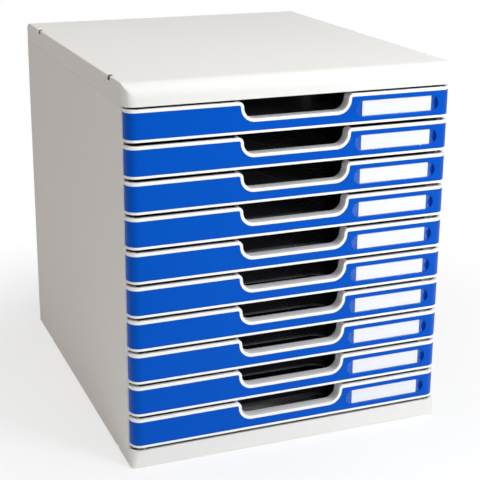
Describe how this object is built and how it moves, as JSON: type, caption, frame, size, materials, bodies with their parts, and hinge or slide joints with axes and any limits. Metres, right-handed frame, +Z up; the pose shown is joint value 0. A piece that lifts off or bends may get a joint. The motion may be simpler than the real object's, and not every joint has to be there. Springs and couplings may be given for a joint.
{
  "type": "desktop drawer unit",
  "caption": "Closed desktop casing with a stack of shallow pull-out paper trays, each with a wrap-round front, a finger notch and a label pocket.",
  "frame": {"origin": "middle of the footprint, on the surface that the unit stands on", "axes": "+X to the right as the user faces the drawers, the drawers open towards -Y, +Z up"},
  "size_m": [0.288, 0.35, 0.324],
  "materials": {
    "casing_grey": "fine matt",
    "front_grey": "satin",
    "inlay_blue": "satin",
    "tray_black": "gloss",
    "label_paper": "smooth",
    "label_window": "clear"
  },
  "bodies": {
    "casing": {"base": "casing_grey", "left_side_panel": "casing_grey", "right_side_panel": "casing_grey", "back_panel": "casing_grey", "top_cover": "casing_grey"},
    "drawer_01": {"drawer_01_front": "front_grey", "drawer_01_inlay": "inlay_blue", "drawer_01_label": "label_paper", "drawer_01_label_cover": "label_window", "drawer_01_tray": "tray_black"},
    "drawer_02": {"drawer_02_front": "front_grey", "drawer_02_inlay": "inlay_blue", "drawer_02_label": "label_paper", "drawer_02_label_cover": "label_window", "drawer_02_tray": "tray_black"},
    "drawer_03": {"drawer_03_front": "front_grey", "drawer_03_inlay": "inlay_blue", "drawer_03_label": "label_paper", "drawer_03_label_cover": "label_window", "drawer_03_tray": "tray_black"},
    "drawer_04": {"drawer_04_front": "front_grey", "drawer_04_inlay": "inlay_blue", "drawer_04_label": "label_paper", "drawer_04_label_cover": "label_window", "drawer_04_tray": "tray_black"},
    "drawer_05": {"drawer_05_front": "front_grey", "drawer_05_inlay": "inlay_blue", "drawer_05_label": "label_paper", "drawer_05_label_cover": "label_window", "drawer_05_tray": "tray_black"},
    "drawer_06": {"drawer_06_front": "front_grey", "drawer_06_inlay": "inlay_blue", "drawer_06_label": "label_paper", "drawer_06_label_cover": "label_window", "drawer_06_tray": "tray_black"},
    "drawer_07": {"drawer_07_front": "front_grey", "drawer_07_inlay": "inlay_blue", "drawer_07_label": "label_paper", "drawer_07_label_cover": "label_window", "drawer_07_tray": "tray_black"},
    "drawer_08": {"drawer_08_front": "front_grey", "drawer_08_inlay": "inlay_blue", "drawer_08_label": "label_paper", "drawer_08_label_cover": "label_window", "drawer_08_tray": "tray_black"},
    "drawer_09": {"drawer_09_front": "front_grey", "drawer_09_inlay": "inlay_blue", "drawer_09_label": "label_paper", "drawer_09_label_cover": "label_window", "drawer_09_tray": "tray_black"},
    "drawer_10": {"drawer_10_front": "front_grey", "drawer_10_inlay": "inlay_blue", "drawer_10_label": "label_paper", "drawer_10_label_cover": "label_window", "drawer_10_tray": "tray_black"}
  },
  "joints": [
    {"name": "drawer_01_slide", "type": "slide", "parent": "casing", "child": "drawer_01", "axis": [0, -1, 0], "range_m": [0, 0.25]},
    {"name": "drawer_02_slide", "type": "slide", "parent": "casing", "child": "drawer_02", "axis": [0, -1, 0], "range_m": [0, 0.25]},
    {"name": "drawer_03_slide", "type": "slide", "parent": "casing", "child": "drawer_03", "axis": [0, -1, 0], "range_m": [0, 0.25]},
    {"name": "drawer_04_slide", "type": "slide", "parent": "casing", "child": "drawer_04", "axis": [0, -1, 0], "range_m": [0, 0.25]},
    {"name": "drawer_05_slide", "type": "slide", "parent": "casing", "child": "drawer_05", "axis": [0, -1, 0], "range_m": [0, 0.25]},
    {"name": "drawer_06_slide", "type": "slide", "parent": "casing", "child": "drawer_06", "axis": [0, -1, 0], "range_m": [0, 0.25]},
    {"name": "drawer_07_slide", "type": "slide", "parent": "casing", "child": "drawer_07", "axis": [0, -1, 0], "range_m": [0, 0.25]},
    {"name": "drawer_08_slide", "type": "slide", "parent": "casing", "child": "drawer_08", "axis": [0, -1, 0], "range_m": [0, 0.25]},
    {"name": "drawer_09_slide", "type": "slide", "parent": "casing", "child": "drawer_09", "axis": [0, -1, 0], "range_m": [0, 0.25]},
    {"name": "drawer_10_slide", "type": "slide", "parent": "casing", "child": "drawer_10", "axis": [0, -1, 0], "range_m": [0, 0.25]}
  ]
}
